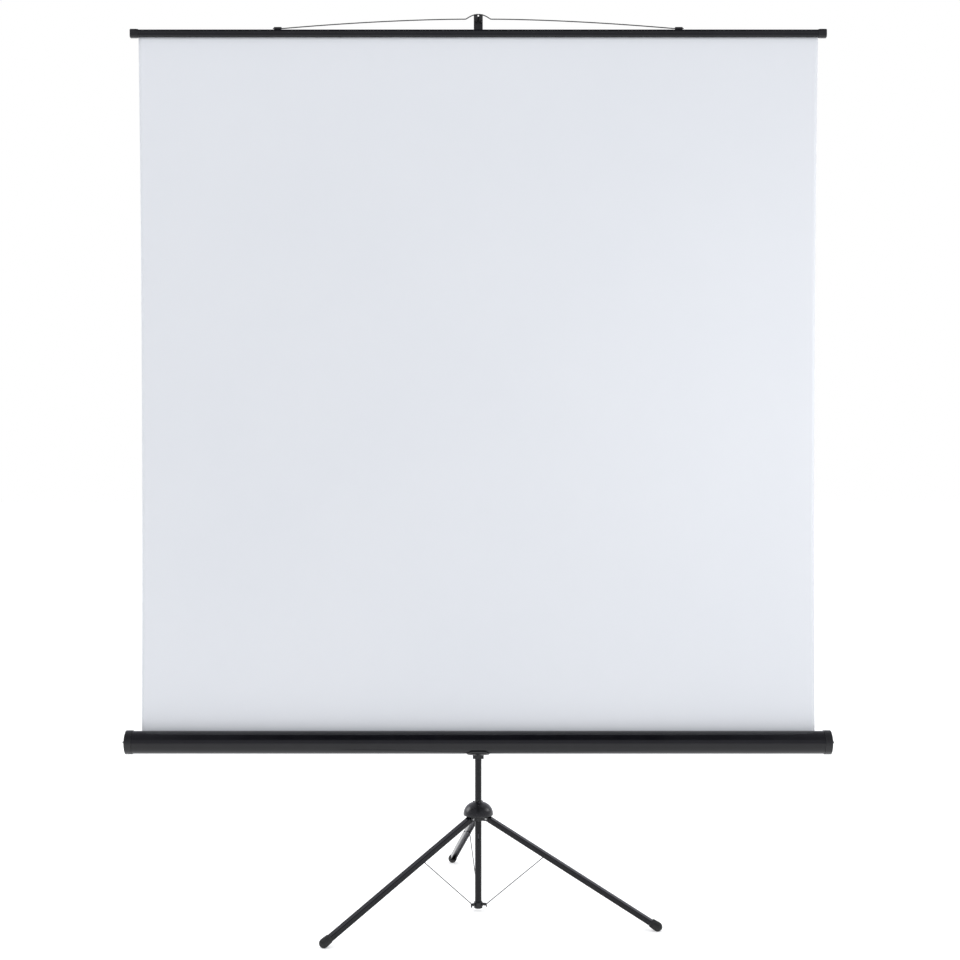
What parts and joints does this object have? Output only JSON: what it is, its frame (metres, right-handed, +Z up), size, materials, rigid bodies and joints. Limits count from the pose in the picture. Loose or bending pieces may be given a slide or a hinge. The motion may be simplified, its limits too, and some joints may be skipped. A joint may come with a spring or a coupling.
{
  "type": "tripod projector screen",
  "caption": "Portable pull-up projection screen on a folding tripod: matte white sheet on a spring roller in a round case, telescoping mast, wire bail.",
  "frame": {"origin": "on the floor, at the middle of the footprint", "axes": "+Z up, -Y the way the sheet faces, +X to the right as seen from the front"},
  "size_m": [1.896, 0.8334, 2.4149],
  "materials": {
    "black_paint": "black powder coat, satin",
    "black_plastic": "moulded black plastic, fine grain",
    "black_rubber": "soft black, matte",
    "steel_wire": "bright drawn wire",
    "bare_steel": "plated, satin",
    "matte_white": "matte white coated cloth",
    "dark_wire": "dark wire, satin"
  },
  "bodies": {
    "brace_foot": {"brace_collar": "black_plastic", "brace_rod": "bare_steel", "catch_spring": "bare_steel"},
    "stand": {"lower_tube": "black_paint", "hub_core": "black_plastic", "hub_dome": "black_plastic", "hub_screw_left": "bare_steel", "hub_screw_right": "bare_steel", "hub_screw_rear": "bare_steel", "leg_rivet_left": "bare_steel", "leg_rivet_right": "bare_steel", "leg_rivet_rear": "bare_steel"},
    "leg_left": {"leg_left": "black_paint", "foot_left": "black_rubber"},
    "leg_right": {"leg_right": "black_paint", "foot_right": "black_rubber"},
    "leg_rear": {"leg_rear": "black_paint", "foot_rear": "black_rubber"},
    "stay_left": {"stay_left": "steel_wire"},
    "stay_right": {"stay_right": "steel_wire"},
    "stay_rear": {"stay_rear": "steel_wire"},
    "mast": {"outer_tube": "black_paint", "mast_collar": "black_plastic", "case_bracket": "black_plastic", "mast_top_housing": "black_plastic", "button_spring": "bare_steel"},
    "lock_knob": {"mast_lock_knob": "black_plastic"},
    "case": {"case_shell": "black_paint", "case_cap_left": "black_plastic", "case_cap_right": "black_plastic", "case_saddle": "black_plastic", "swivel_bolt": "bare_steel", "swivel_nut": "bare_steel", "spring_arbor": "bare_steel", "roller_spring": "bare_steel", "sheet": "matte_white"},
    "roller": {"roller_tube": "bare_steel", "sheet_roll": "matte_white", "roller_plug_left": "black_plastic", "roller_plug_right": "black_plastic"},
    "top_bar": {"top_bar": "black_paint", "hem_rod": "bare_steel", "bar_cap_left": "black_plastic", "bar_cap_right": "black_plastic", "bail_clip_left": "black_plastic", "bail_clip_right": "black_plastic"},
    "bail": {"bail_wire": "dark_wire"},
    "extension": {"extension_tube": "bare_steel", "extension_plug": "black_plastic", "mast_head": "black_plastic"},
    "release_button": {"release_button": "black_plastic"}
  },
  "joints": [
    {"name": "leg_fold", "type": "slide", "parent": "brace_foot", "child": "stand", "axis": [0, 0, 1], "range_m": [0, 0.18021]},
    {"name": "leg_left_hinge", "type": "hinge", "parent": "stand", "child": "leg_left", "pos_m": [-0.02021, -0.10595, 0.256], "axis": [0.6293, -0.7771, 0], "range_deg": [0, 62.73]},
    {"name": "leg_right_hinge", "type": "hinge", "parent": "stand", "child": "leg_right", "pos_m": [0.02427, -0.09891, 0.256], "axis": [0.3584, 0.9336, 0], "range_deg": [0, 62.73]},
    {"name": "leg_rear_hinge", "type": "hinge", "parent": "stand", "child": "leg_rear", "pos_m": [-0.00407, -0.06391, 0.256], "axis": [-0.9877, -0.1564, 0], "range_deg": [0, 62.73]},
    {"name": "stay_left_hinge", "type": "hinge", "parent": "leg_left", "child": "stay_left", "pos_m": [-0.15007, -0.21112, 0.16987], "axis": [-0.6293, 0.7771, 0], "range_deg": [0, 109.98]},
    {"name": "stay_right_hinge", "type": "hinge", "parent": "leg_right", "child": "stay_right", "pos_m": [0.18028, -0.1588, 0.16987], "axis": [-0.3584, -0.9336, 0], "range_deg": [0, 109.98]},
    {"name": "stay_rear_hinge", "type": "hinge", "parent": "leg_rear", "child": "stay_rear", "pos_m": [-0.03021, 0.10114, 0.16987], "axis": [0.9877, 0.1564, 0], "range_deg": [0, 109.98]},
    {"name": "mast_raise", "type": "slide", "parent": "stand", "child": "mast", "axis": [0, 0, 1], "range_m": [0, 0.3]},
    {"name": "lock_knob_turn", "type": "hinge", "parent": "mast", "child": "lock_knob", "pos_m": [0, -0.07109, 0.4238], "axis": [0, 1, 0], "continuous": true},
    {"name": "case_swivel", "type": "hinge", "parent": "mast", "child": "case", "pos_m": [0, -0.11929, 0.4733], "axis": [0, -1, 0], "range_deg": [0, 55]},
    {"name": "screen_pull", "type": "slide", "parent": "case", "child": "top_bar", "axis": [0, 0, 1], "range_m": [-0.85, 0], "deforming": ["sheet"]},
    {"name": "roller_turn", "type": "hinge", "parent": "case", "child": "roller", "pos_m": [0, -0.16209, 0.4733], "axis": [1, 0, 0], "continuous": true},
    {"name": "extension_slide", "type": "slide", "parent": "mast", "child": "extension", "axis": [0, 0, 1], "range_m": [-0.85, 0]},
    {"name": "bail_swing", "type": "hinge", "parent": "top_bar", "child": "bail", "pos_m": [0, -0.14464, 2.3683], "axis": [1, 0, 0], "range_deg": [0, 120]},
    {"name": "release_press", "type": "slide", "parent": "mast", "child": "release_button", "axis": [0, -1, 0], "range_m": [0, 0.003], "stiffness_N_per_m": 400, "springref_m": -0.005}
  ],
  "couplings": [
    {"joint": "leg_left_hinge", "follows": "leg_fold", "rad_per_m": 6.0756},
    {"joint": "leg_right_hinge", "follows": "leg_fold", "rad_per_m": 6.0756},
    {"joint": "leg_rear_hinge", "follows": "leg_fold", "rad_per_m": 6.0756},
    {"joint": "stay_left_hinge", "follows": "leg_fold", "rad_per_m": 10.651},
    {"joint": "stay_right_hinge", "follows": "leg_fold", "rad_per_m": 10.651},
    {"joint": "stay_rear_hinge", "follows": "leg_fold", "rad_per_m": 10.651},
    {"joint": "roller_turn", "follows": "screen_pull", "rad_per_m": 57.307},
    {"joint": "extension_slide", "follows": "screen_pull", "ratio": 1}
  ]
}
